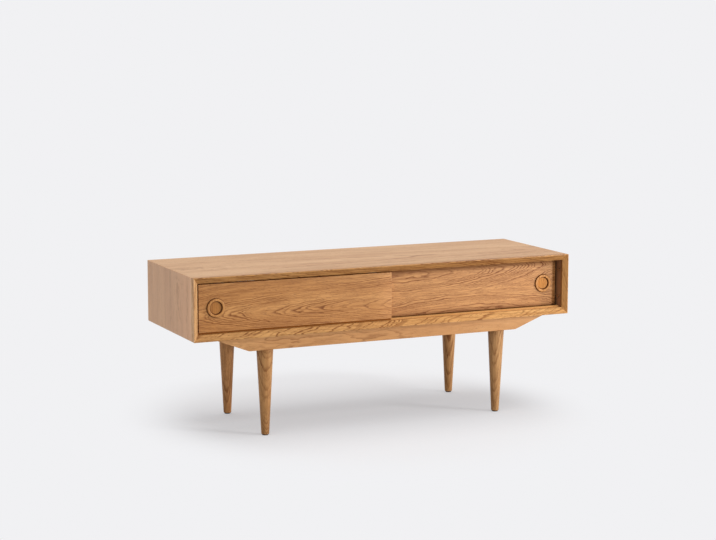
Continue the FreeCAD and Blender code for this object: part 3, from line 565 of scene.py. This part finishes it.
# What the function gritty gets for each finish.
GRITTY_FINISHES = {
    "oak_plastic": {"base": (0.36, 0.17, 0.055), "dusty": (0.30, 0.13, 0.040),
                    "roughness": 0.80, "gloss": 0.05},
    # Pale track plastic; its deep colour is painted shade where the closed front door covers the
    # track
    "shaded_pale_plastic": {"base": (0.56, 0.29, 0.105), "dusty": (0.50, 0.25, 0.085),
                     "roughness": 0.80, "gloss": 0.05,
                     "deep": under_the_door, "deep_colour": (0.240, 0.085, 0.018)},
    # Dark track plastic under the rear door; its darkness is painted shade
    "shaded_dark_plastic": {"base": (0.130, 0.050, 0.013), "dusty": (0.110, 0.042, 0.011),
                      "roughness": 0.80, "gloss": 0.05},
    "brown_nylon": {"base": (0.040, 0.020, 0.010), "dusty": (0.055, 0.030, 0.016),
                    "roughness": 0.40},
    "brown_rubber": {"base": (0.250, 0.110, 0.038), "dusty": (0.210, 0.090, 0.030),
                     "roughness": 0.80},
    "dark_plastic": {"base": (0.035, 0.028, 0.022), "dusty": (0.06, 0.05, 0.04),
                     "roughness": 0.50},
    "zinc": {"base": (0.58, 0.58, 0.55), "dusty": (0.46, 0.46, 0.44), "roughness": 0.34,
             "metallic": 1.0, "scale": 1500.0},
    "beech": {"base": (0.62, 0.44, 0.27), "dusty": (0.52, 0.35, 0.20), "roughness": 0.60},
    "plywood": {"base": (0.55, 0.40, 0.24), "dusty": (0.42, 0.28, 0.15), "roughness": 0.65},
}

# The finish of a part, or else of all the parts in a material slot.
FINISH_OF = {
    "lower_front_track": "shaded_pale_plastic", "lower_rear_track": "shaded_dark_plastic",
    "track_plastic": "oak_plastic", "nylon": "brown_nylon", "buffer_rubber": "brown_rubber",
    "glide_plastic": "dark_plastic", "zinc_screws": "zinc", "beech_dowels": "beech",
    "spline_plywood": "plywood",
}


def new_finish(name):
    """A material with a Principled shader and the object's own coordinates."""
    material = bpy.data.materials.new(name)
    material.use_nodes = True
    nodes = Nodes(material.node_tree)
    shader = material.node_tree.nodes["Principled BSDF"]
    place = nodes.add("ShaderNodeTexCoord").outputs["Object"]
    return material, nodes, shader, place


def add_relief(nodes, shader, height, strength, distance):
    bump = nodes.add("ShaderNodeBump", {"Height": height, "Strength": strength,
                                        "Distance": distance})
    nodes.feed(shader.inputs["Normal"], bump.outputs["Normal"])


def dress(node, material):
    """Give a part from the frame its finish."""
    target = frame["nodes"][node]
    target.data.materials.clear()
    target.data.materials.append(material)


def board_frame(nodes, place, middle, grain, face, shift):
    """Turn a position into one along the grain, across the face and out of the face."""
    turn = Matrix((grain, face.cross(grain), face))
    moved = Vector(shift) - turn @ Vector(middle)
    return nodes.add("ShaderNodeMapping", {"Vector": place, "Location": moved,
                                           "Rotation": turn.to_euler()}).outputs[0]


def dress_in_oak(node, grain, face, shift=(0, 0, 0), ring_width=None, pith_depth=0.06,
                 taper=0.03, wander=None, bow=0.0, crown=0.0, leaf=ONE_LEAF, contrast=1.0,
                 tint=(1, 1, 1), wear_reach=0.0025, gloss=0.25, matt=0.42, dirt_and_shade=None, deep=()):
    """Oil one wooden part: shift slides it along, across and out of its log.

    The log bends by bow on both sides of crown, a place along the part from its middle. leaf is
    where across the log a second, mirrored leaf of veneer starts, and how far that leaf is slid
    along. The function given for dirt and shade takes the nodes and the position and gives back
    the mask of dust and painted shade. deep holds more such functions, each with the tint that
    takes over where its mask is 1; some of these tints are painted shade.
    """
    settings = bpy.context.scene.oak_settings
    low, high = (Vector(corner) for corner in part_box(node))
    middle, half_size = (low + high) / 2, (high - low) / 2
    material, nodes, shader, place = new_finish("oak_" + node)
    shade = rgba(tint)
    for mask, other_tint in deep:
        shade = nodes.mix(mask(nodes, place), shade, rgba(other_tint))
    grain_group = shared_group("Oak grain", build_oak_grain)
    finish = nodes.group(shared_group("Oiled oak", build_oiled_oak, grain_group), {
        "Position": board_frame(nodes, place, middle, grain, face, shift),
        "Ring Width": ring_width or settings.ring_width, "Pith Depth": pith_depth,
        "Taper": taper, "Wander": settings.wander if wander is None else wander,
        "Bow": bow, "Crown": crown + shift[0], "Leaf Edge": leaf[0], "Leaf Shift": leaf[1],
        "Contrast": contrast, "Matt": matt, "Tint": shade, "Pale": rgba(settings.pale),
        "Warm": rgba(settings.warm), "Ring": rgba(settings.ring), "Pore": rgba(settings.pore),
        "Ray": rgba(settings.ray), "Dirt And Shade Colour": rgba(settings.dirt_and_shade),
    })
    if wear_reach:
        edges = nodes.group(shared_group("Edge wear", build_edge_wear), {
            "Position": place, "Middle": middle, "Half Size": half_size, "Reach": wear_reach})
        nodes.feed(finish.inputs["Wear"], edges.outputs["Wear"])
    if dirt_and_shade:
        nodes.feed(finish.inputs["Dirt And Shade"], dirt_and_shade(nodes, place))
    nodes.feed(shader.inputs["Base Color"], finish.outputs["Colour"])
    nodes.feed(shader.inputs["Roughness"], finish.outputs["Roughness"])
    shader.inputs["Specular IOR Level"].default_value = gloss
    add_relief(nodes, shader, finish.outputs["Height"], OAK_BUMP, settings.relief)
    dress(node, material)


def gritty(name, base, dusty, roughness, metallic=0.0, scale=900.0, gloss=0.3,
           deep=None, deep_colour=(0, 0, 0)):
    """Plastic, rubber, zinc or bare wood with fine mottling; deep gives a mask for deep_colour."""
    smoother, rougher = 0.06, 0.08      # how far the mottling takes the roughness
    material, nodes, shader, place = new_finish(name)
    grit = nodes.group(shared_group("Fine grit", build_fine_grit), {
        "Position": place, "Scale": scale, "Base": rgba(base), "Dusty": rgba(dusty)}).outputs
    colour = grit["Colour"]
    if deep:
        colour = nodes.mix(deep(nodes, place), colour, rgba(deep_colour))
    nodes.feed(shader.inputs["Base Color"], colour)
    nodes.feed(shader.inputs["Roughness"], nodes.ramp(
        grit["Grit"], low=0.3, high=0.7, start=roughness - smoother, end=roughness + rougher))
    shader.inputs["Metallic"].default_value = metallic
    shader.inputs["Specular IOR Level"].default_value = gloss
    add_relief(nodes, shader, grit["Grit"], GRIT_BUMP, GRIT_RELIEF)
    return material


def gritty_finish(name):
    """A finish from the table, made the first time that it is asked for."""
    return bpy.data.materials.get(name) or gritty(name, **GRITTY_FINISHES[name])


# ---------------------------------------------------------------- pieces

class CABINET_OT_carcass(bpy.types.Operator):
    """Finish the four panels, the divider and the back"""
    bl_idname = "cabinet.carcass"
    bl_label = "Carcass"

    def execute(self, context):
        # The top's paler, bluer tint is painted sheen, for the backdrop it mirrors at a glancing
        # view
        dress_in_oak("top_panel", X, Z, shift=(0.3, 0.05, 0), pith_depth=0.16, taper=0.03,
                     ring_width=0.0038, contrast=0.8, gloss=1.0, tint=(0.99, 1.15, 1.66),
                     matt=0.62)
        dress_in_oak("bottom_panel", X, Z, shift=(1.7, -0.06, 0), pith_depth=0.12, taper=0.02,
                     tint=(1.1, 1.1, 1.15), dirt_and_shade=floor_grime)
        # The side panels' paler, bluer tint is painted sheen, for the backdrop they mirror at a
        # glancing view
        for node, face in (("left_side_panel", -X), ("right_side_panel", X)):
            dress_in_oak(node, Z, face, shift=(2.1 * face.x, 0.08, 0), pith_depth=0.14,
                         taper=0.012, ring_width=0.0034, contrast=0.6, tint=(1.07, 1.11, 1.35),
                         gloss=1.0, dirt_and_shade=inside_shade,
                         deep=((front_of_side, (1.26, 1.31, 1.68)),))
        dress_in_oak("centre_divider", Z, X, shift=(3.3, 0.05, 0))
        dress_in_oak("back_panel", X, Y, shift=(4.1, 0.02, 0), pith_depth=0.08, contrast=0.7,
                     tint=(0.93, 0.90, 0.86))
        return {"FINISHED"}


class CABINET_OT_edging(bpy.types.Operator):
    """Finish the solid strips in front of the panels and the divider"""
    bl_idname = "cabinet.edging"
    bl_label = "Edging"

    def execute(self, context):
        # Painted shade on the left part of the lower edging strip
        darker_left = ((left_of_strip, (0.99, 1.05, 1.09)),)
        for node, grain, along, contrast, tint, dirt_and_shade, deep in (
                ("top_front_edging", X, 0.7, 2.2, (0.93, 0.94, 0.92), inside_shade, ()),
                ("bottom_front_edging", X, 5.2, 2.0, (1.17, 1.29, 1.44), None, darker_left),
                # The left strip's much paler, bluer tint is painted sheen on the bevel that faces
                # the lamps
                ("left_front_edging", Z, 1.9, 1.5, (1.22, 1.42, 1.97), inside_shade, ()),
                ("right_front_edging", Z, 7.9, 0.8, (0.98, 1.00, 0.97), inside_shade, ()),
                ("divider_edging", Z, 8.8, 1.0, (1, 1, 1), inside_shade, ())):
            dress_in_oak(node, grain, -Y, shift=(along, 0.012, 0), pith_depth=0.05, taper=0.16,
                         ring_width=0.0045, contrast=contrast, tint=tint, dirt_and_shade=dirt_and_shade, deep=deep)
        return {"FINISHED"}


class CABINET_OT_doors(bpy.types.Operator):
    """Finish the two door panels"""
    bl_idname = "cabinet.doors"
    bl_label = "Doors"

    def execute(self, context):
        flat_sawn = {"pith_depth": 0.012, "ring_width": 0.0032, "wander": 0.009}
        # The doors' bands are painted shade: on the front door's top face in the gap above it, and
        # along the rear door's top and bottom where the edging strips shade it
        dress_in_oak("front_door_panel", X, -Y, shift=(0.4, 0.022, 0), taper=-0.090, bow=0.05,
                     crown=0.05, contrast=1.6, tint=(1.00, 0.97, 0.98),
                     dirt_and_shade=door_shade("front_door_panel", "front_door_pull",
                                      top=(0.0010, 0.30), bottom=(0.0010, 0.0)),
                     deep=((paler_right_end, (1.19, 1.19, 1.36)), (upper_face, (1.50, 0.95, 0.25))),
                     **flat_sawn)
        dress_in_oak("rear_door_panel", X, -Y, shift=(6.2, -0.054, 0), taper=0.07, bow=0.24,
                     crown=-0.10, leaf=(-0.063, -0.25), contrast=1.8, tint=(1.055, 1.025, 1.07),
                     dirt_and_shade=door_shade("rear_door_panel", "rear_door_pull",
                                      top=(0.0210, 0.72), bottom=(0.0135, 0.52)),
                     **flat_sawn)
        return {"FINISHED"}


class CABINET_OT_pulls(bpy.types.Operator):
    """Finish the turned cup pulls"""
    bl_idname = "cabinet.pulls"
    bl_label = "Pulls"

    def execute(self, context):
        # The front pull's darker dish tint is painted shade; the rear pull's tint makes its dish
        # more golden
        for node, shift, rim_tint, dish_tint in (
                ("front_door_pull", (2.6, 0.05, 0), (1.00, 0.97, 0.95), (0.84, 0.74, 0.56)),
                ("rear_door_pull", (9.1, 0.063, 0), (1.16, 1.12, 1.10), (1.15, 0.95, 0.50))):
            dress_in_oak(node, Z, -Y, shift=shift, pith_depth=0.09, taper=0.01,
                         ring_width=0.003, contrast=0.8, tint=rim_tint, wear_reach=0, gloss=0.2,
                         dirt_and_shade=pull_shade(node, "On Pull"),
                         deep=((pull_shade(node, "Dish"), dish_tint),))
        return {"FINISHED"}


class CABINET_OT_base(bpy.types.Operator):
    """Finish the rails and the legs"""
    bl_idname = "cabinet.base"
    bl_label = "Base"

    def execute(self, context):
        for node, grain, face, along in (
                ("front_rail", X, -Y, 0.9), ("rear_rail", X, -Y, 4.4),
                ("left_cross_rail", Y, X, 6.1), ("right_cross_rail", Y, X, 7.3)):
            dress_in_oak(node, grain, face, shift=(along, 0.01, 0), pith_depth=0.07, taper=0.015,
                         ring_width=0.0032, contrast=0.7, tint=(1.12, 1.19, 1.47))
        for node, shift, taper, tint in (
                ("front_left_leg", (1.3, 0.003, 0), 0.11, (0.96, 1.02, 1.19)),
                ("front_right_leg", (2.2, 0.014, 0), 0.012, (0.98, 1.10, 1.42)),
                ("rear_left_leg", (3.7, 0.014, 0), 0.012, (1.04, 1.06, 1.24)),
                ("rear_right_leg", (4.9, 0.012, 0), 0.012, (1.01, 1.08, 1.29))):
            dress_in_oak(node, Z, -Y, shift=shift, pith_depth=0.02, taper=taper,
                         ring_width=0.0036, wander=0.004, contrast=1.5, tint=tint, wear_reach=0,
                         dirt_and_shade=leg_shade)
        return {"FINISHED"}


def new_screw(radius, head_height, shank_radius, length, tip):
    """A countersunk screw with a cross recess: its face at Z 0, its point below."""
    cross_width, cross_reach = 0.16 * radius, 0.56 * radius     # both from the middle
    cross_depth, cross_floor = 0.8 * head_height, 0.55          # the floor is scaled by this
    blunt = 0.05                                                # the point's, before it closes
    squares = 5
    shape = bmesh.new()
    bmesh.ops.create_grid(shape, x_segments=squares, y_segments=squares, size=1.0)
    lines = (cross_width, cross_reach, radius)
    for vert in shape.verts:
        step = [round((abs(each) * squares - 1) / 2) for each in vert.co.xy]
        at = Vector((math.copysign(lines[step[0]], vert.co.x),
                     math.copysign(lines[step[1]], vert.co.y), 0))
        vert.co = at.normalized() * radius if 2 in step else at
    shape.faces.ensure_lookup_table()
    cross = [face for face in shape.faces
             if max(abs(each) for each in face.calc_center_median().xy) < cross_reach
             and min(abs(each) for each in face.calc_center_median().xy) < cross_width]
    sunk = bmesh.ops.extrude_face_region(shape, geom=cross)["geom"]
    bmesh.ops.delete(shape, geom=cross, context="FACES")
    floor = [each for each in sunk if isinstance(each, bmesh.types.BMVert)]
    bmesh.ops.translate(shape, verts=floor, vec=-cross_depth * Z)
    bmesh.ops.scale(shape, verts=floor, vec=(cross_floor, cross_floor, 1))
    rim = [edge for edge in shape.edges if edge.is_boundary]
    for drop, narrow in ((head_height, shank_radius / radius),
                         (length - tip - head_height, 1.0), (tip, blunt)):
        rim = bmesh.ops.extrude_edge_only(shape, edges=rim)["geom"]
        ring = [each for each in rim if isinstance(each, bmesh.types.BMVert)]
        rim = [each for each in rim if isinstance(each, bmesh.types.BMEdge)]
        bmesh.ops.translate(shape, verts=ring, vec=-drop * Z)
        bmesh.ops.scale(shape, verts=ring, vec=(narrow, narrow, 1))
    bmesh.ops.pointmerge(shape, verts=ring, merge_co=-length * Z)
    bmesh.ops.recalc_face_normals(shape, faces=shape.faces)
    return shape


def add_screws(name, node, outwards, columns, sizes):
    """Two rows of screws in place of plain ones, each screw turned to an angle of its own."""
    low, high = (Vector(corner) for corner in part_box(node))
    turn = outwards.to_track_quat("Z", "Y").to_matrix().to_4x4()
    row_axis = 2 if outwards == Y else 1
    radius = sizes["radius"]
    screws = bmesh.new()
    for column in range(columns):
        for level in (0, 1):
            place = Vector(high if outwards == Y else low)
            place.x = low.x + radius + (high.x - low.x - 2 * radius) * column / (columns - 1)
            place[row_axis] = high[row_axis] - radius if level else low[row_axis] + radius
            one = new_screw(**sizes)
            bmesh.ops.rotate(one, verts=one.verts, matrix=Matrix.Rotation(column + level, 3, "Z"))
            one.transform(Matrix.Translation(place) @ turn)
            scrap = bpy.data.meshes.new("scrap")
            one.to_mesh(scrap)
            one.free()
            screws.from_mesh(scrap)
            bpy.data.meshes.remove(scrap)
    mesh = bpy.data.meshes.new(name)
    screws.to_mesh(mesh)
    screws.free()
    mesh.materials.append(gritty_finish("zinc"))
    piece = bpy.data.objects.new(name, mesh)
    bpy.context.scene.collection.objects.link(piece)
    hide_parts(node)
    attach(piece, "cabinet")


class CABINET_OT_screws(bpy.types.Operator):
    """Replace the plain screws with cross-recessed ones"""
    bl_idname = "cabinet.screws"
    bl_label = "Screws"

    def execute(self, context):
        add_screws("back_screws", "back_panel_screws", Y, columns=5, sizes={
            "radius": 0.0030, "head_height": 0.0018, "shank_radius": 0.0016,
            "length": 0.020, "tip": 0.003})
        add_screws("rail_screws", "base_screws", -Z, columns=4, sizes={
            "radius": 0.0044, "head_height": 0.0028, "shank_radius": 0.0022,
            "length": 0.052, "tip": 0.003})
        return {"FINISHED"}


class CABINET_OT_fixings(bpy.types.Operator):
    """Finish the tracks, runners, guides, buffers, glides, dowels, splines, inserts and bolts"""
    bl_idname = "cabinet.fixings"
    bl_label = "Fixings"

    def execute(self, context):
        for node, slot in SLOT_OF.items():
            name = FINISH_OF.get(node) or FINISH_OF.get(slot)
            if name:
                dress(node, gritty_finish(name))
        return {"FINISHED"}


# ---------------------------------------------------------------- studio

def add_floor(studio):
    """A matt floor that fades into the backdrop and is clear from below."""
    corners, matt = 64, 0.9
    fade_start = 0.62       # share of the reach at which the fading starts
    mesh = bpy.data.meshes.new("floor")
    shape = bmesh.new()
    bmesh.ops.create_circle(shape, cap_ends=True, segments=corners, radius=studio.floor_radius)
    shape.to_mesh(mesh)
    shape.free()
    floor = bpy.data.objects.new("floor", mesh)
    bpy.context.scene.collection.objects.link(floor)
    material, nodes, shader, place = new_finish("floor_paint")
    shader.inputs["Base Color"].default_value = rgba(studio.floor)
    shader.inputs["Roughness"].default_value = matt
    shader.inputs["Specular IOR Level"].default_value = 0.0
    light_path = nodes.add("ShaderNodeLightPath").outputs
    seen = nodes.calc("MAXIMUM", light_path["Is Camera Ray"], light_path["Is Glossy Ray"])
    lift = nodes.add("ShaderNodeEmission", {"Color": rgba(studio.floor_lift), "Strength": seen})
    near = nodes.add("ShaderNodeAddShader", {0: shader.outputs[0], 1: lift.outputs[0]})
    backdrop = nodes.add("ShaderNodeEmission", {"Color": rgba(studio.backdrop)})
    reach_x, reach_y = studio.floor_reach
    scaled = nodes.vector("MULTIPLY", place, (1 / reach_x, 1 / reach_y, 0))
    distance = nodes.add("ShaderNodeVectorMath", {0: scaled}, operation="LENGTH").outputs["Value"]
    far = nodes.ramp(distance, low=fade_start, high=1.0)
    paint = nodes.add("ShaderNodeMixShader", {0: nodes.calc("MULTIPLY", far, seen),
                                              1: near.outputs[0], 2: backdrop.outputs[0]})
    below = nodes.add("ShaderNodeNewGeometry").outputs["Backfacing"]
    clear = nodes.add("ShaderNodeBsdfTransparent")
    one_sided = nodes.add("ShaderNodeMixShader", {0: below, 1: paint.outputs[0],
                                                  2: clear.outputs[0]})
    output = material.node_tree.nodes["Material Output"]
    nodes.feed(output.inputs["Surface"], one_sided.outputs[0])
    mesh.materials.append(material)
    return floor


def add_lamp(name, lamp, place, towards, receivers=None):
    """A lamp whose light travels along towards, onto the receivers alone if there are any."""
    holder = bpy.data.objects.new(name, lamp)
    holder.location = place
    holder.rotation_euler = Vector(towards).to_track_quat("-Z", "Y").to_euler()
    bpy.context.scene.collection.objects.link(holder)
    holder.light_linking.receiver_collection = receivers


def add_lamps(studio, floor):
    """Two lamps light the cabinet, a slanted one the floor, and a wide one above lights both."""
    aim = Vector((0, 0, 0.35))      # for the two lamps
    sun_place = (0, 0, 3)           # a sun's light is the same wherever it hangs
    lit = bpy.data.collections.new("lit by the lamps")
    for each in bpy.data.objects:
        if each.type == "MESH" and each != floor:
            lit.objects.link(each)
    for name, power, place in (("key", studio.key_power, studio.key_place),
                               ("side", studio.side_power, studio.side_place)):
        lamp = bpy.data.lights.new(name, "AREA")
        lamp.shape = "DISK"
        lamp.size = studio.lamp_size
        lamp.energy = power
        add_lamp(name, lamp, place, aim - Vector(place), lit)
    ground = bpy.data.collections.new("lit by the slant")
    ground.objects.link(floor)
    for name, strength, spread, towards, receivers in (
            ("overhead", studio.overhead, studio.overhead_spread, -Z, None),
            ("slant", studio.slant, studio.slant_spread, studio.slant_towards, ground)):
        lamp = bpy.data.lights.new(name, "SUN")
        lamp.energy = strength
        lamp.angle = spread
        add_lamp(name, lamp, sun_place, towards, receivers)


def set_world(studio):
    """Even light for the cabinet, with the backdrop's colour where it is seen or mirrored."""
    world = bpy.data.worlds.new("studio")
    world.use_nodes = True
    bpy.context.scene.world = world
    nodes = Nodes(world.node_tree)
    light_path = nodes.add("ShaderNodeLightPath").outputs
    seen = nodes.calc("MAXIMUM", light_path["Is Camera Ray"],
                      nodes.calc("MAXIMUM", light_path["Is Glossy Ray"],
                                 light_path["Is Transmission Ray"]))
    colour = nodes.mix(seen, rgba([studio.sky] * 3), rgba(studio.backdrop))
    background = world.node_tree.nodes["Background"]
    nodes.feed(background.inputs["Color"], colour)
    background.inputs["Strength"].default_value = 1.0


def add_camera(studio):
    camera = bpy.data.cameras.new("camera")
    camera.sensor_width = 36        # millimetres, as the lens setting says
    camera.lens = studio.lens
    camera.clip_end = 200           # metres, past the whole floor
    holder = bpy.data.objects.new("camera", camera)
    turn = (Matrix.Rotation(-studio.camera_turn, 4, "Z")
            @ Matrix.Rotation(math.pi / 2 - studio.camera_dip, 4, "X")
            @ Matrix.Rotation(studio.camera_roll, 4, "Z"))
    holder.matrix_world = Matrix.Translation(studio.camera_place) @ turn
    bpy.context.scene.collection.objects.link(holder)
    bpy.context.scene.camera = holder


class CABINET_OT_studio(bpy.types.Operator):
    """Add the floor, the lamps, the backdrop and the camera"""
    bl_idname = "cabinet.studio"
    bl_label = "Studio"

    def execute(self, context):
        studio = context.scene.studio_settings
        floor = add_floor(studio)
        add_lamps(studio, floor)
        set_world(studio)
        add_camera(studio)
        context.scene.view_settings.view_transform = "Standard"
        return {"FINISHED"}


# ---------------------------------------------------------------- add-on

STEPS = (CABINET_OT_carcass, CABINET_OT_edging, CABINET_OT_doors, CABINET_OT_pulls,
         CABINET_OT_base, CABINET_OT_screws, CABINET_OT_fixings, CABINET_OT_studio)


class CABINET_PT_panel(bpy.types.Panel):
    """Lists the cabinet's settings and steps"""
    bl_idname = "CABINET_PT_panel"
    bl_label = "Sliding door cabinet"
    bl_space_type = "VIEW_3D"
    bl_region_type = "UI"
    bl_category = "Cabinet"

    def draw(self, context):
        for settings in (context.scene.oak_settings, context.scene.studio_settings):
            box = self.layout.box()
            for name in settings.__annotations__:
                box.prop(settings, name)
        for step in STEPS:
            self.layout.operator(step.bl_idname)


CLASSES = (OakSettings, StudioSettings, *STEPS, CABINET_PT_panel)


def register():
    for each in CLASSES:
        bpy.utils.register_class(each)
    bpy.types.Scene.oak_settings = PointerProperty(type=OakSettings)
    bpy.types.Scene.studio_settings = PointerProperty(type=StudioSettings)


def unregister():
    del bpy.types.Scene.studio_settings
    del bpy.types.Scene.oak_settings
    for each in reversed(CLASSES):
        bpy.utils.unregister_class(each)


def main():
    register()
    for step in STEPS:
        module, name = step.bl_idname.split(".")
        getattr(getattr(bpy.ops, module), name)()


if __name__ == "__main__":
    main()
